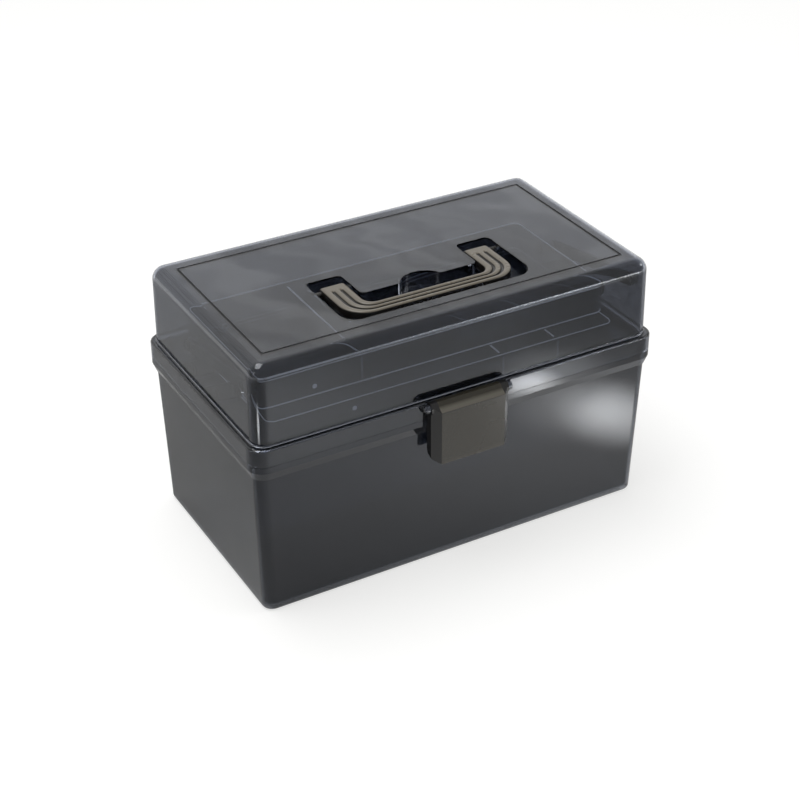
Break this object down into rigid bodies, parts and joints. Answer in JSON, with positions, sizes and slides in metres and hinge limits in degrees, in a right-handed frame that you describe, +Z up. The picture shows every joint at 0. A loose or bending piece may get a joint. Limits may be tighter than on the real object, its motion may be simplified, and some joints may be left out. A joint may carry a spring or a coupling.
{
  "type": "photo keeper case",
  "caption": "Transparent smoke-grey plastic storage case with a deep base, a hinged domed lid, a folding bail handle, a wide front latch and fold-out divided trays.",
  "frame": {"origin": "middle of the flat underside of the base, on the surface that the case stands on", "axes": "+X along the case's length, -Y towards the front with the latch, +Z up"},
  "size_m": [0.308, 0.1921, 0.1875],
  "materials": {
    "smoke_base": "glossy transparent, blue-grey smoke tint",
    "smoke_lid": "glossy transparent, blue-grey smoke tint",
    "smoke_tray": "glossy transparent, smoke tint",
    "smoke_divider": "glossy transparent, smoke tint",
    "handle_taupe": "satin taupe",
    "latch_olive": "semi-gloss dark olive brown",
    "dark_bar": "semi-gloss dark grey",
    "dark_rivet": "satin dark grey",
    "steel_pin": "plain steel rod"
  },
  "bodies": {
    "root": {"base_shell": "smoke_base", "hinge_pins": "steel_pin", "arm_base_pins": "dark_rivet"},
    "lid": {"lid_shell": "smoke_lid", "lid_panel": "smoke_lid", "handle_pins": "steel_pin", "latch_pin": "steel_pin", "link_lid_pins": "dark_rivet"},
    "handle": {"handle": "handle_taupe"},
    "latch": {"latch": "latch_olive"},
    "front_arms": {"front_arm_left": "dark_bar", "front_arm_right": "dark_bar"},
    "rear_arms": {"rear_arm_left": "dark_bar", "rear_arm_right": "dark_bar"},
    "lower_tray": {"lower_tray": "smoke_tray", "lower_tray_pins": "dark_rivet", "lower_divider_first": "smoke_divider", "lower_divider_second": "smoke_divider"},
    "upper_tray": {"upper_tray": "smoke_tray", "upper_tray_pins": "dark_rivet", "link_tray_pins": "dark_rivet", "upper_divider": "smoke_divider"},
    "lid_links": {"lid_link_left": "dark_bar", "lid_link_right": "dark_bar"}
  },
  "joints": [
    {"name": "lid_hinge", "type": "hinge", "parent": "root", "child": "lid", "pos_m": [0, 0.091, 0.118], "axis": [-1, 0, 0], "range_deg": [0, 105]},
    {"name": "handle", "type": "hinge", "parent": "lid", "child": "handle", "pos_m": [0, -0.008, 0.183], "axis": [-1, 0, 0], "range_deg": [0, 130]},
    {"name": "latch", "type": "hinge", "parent": "lid", "child": "latch", "pos_m": [0, -0.0892, 0.1274], "axis": [-1, 0, 0], "range_deg": [0, 110]},
    {"name": "front_arms", "type": "hinge", "parent": "root", "child": "front_arms", "pos_m": [0, 0.0322, 0.1062], "axis": [-1, 0, 0], "range_deg": [0, 73.5]},
    {"name": "rear_arms", "type": "hinge", "parent": "root", "child": "rear_arms", "pos_m": [0, 0.0682, 0.1062], "axis": [-1, 0, 0], "range_deg": [0, 73.5]},
    {"name": "lower_tray", "type": "hinge", "parent": "front_arms", "child": "lower_tray", "pos_m": [0, -0.00532, 0.12919], "axis": [-1, 0, 0], "range_deg": [-73.5, 0]},
    {"name": "upper_tray", "type": "hinge", "parent": "front_arms", "child": "upper_tray", "pos_m": [0, -0.03601, 0.148], "axis": [-1, 0, 0], "range_deg": [-73.5, 0]},
    {"name": "lid_links", "type": "hinge", "parent": "lid", "child": "lid_links", "pos_m": [0, -0.065, 0.1664], "axis": [-1, 0, 0], "range_deg": [0, 17]}
  ],
  "couplings": [
    {"joint": "front_arms", "follows": "lid_hinge", "ratio": 0.7},
    {"joint": "rear_arms", "follows": "lid_hinge", "ratio": 0.7},
    {"joint": "lower_tray", "follows": "lid_hinge", "ratio": -0.7},
    {"joint": "upper_tray", "follows": "lid_hinge", "ratio": -0.7},
    {"joint": "lid_links", "follows": "lid_hinge", "ratio": 0.159}
  ]
}
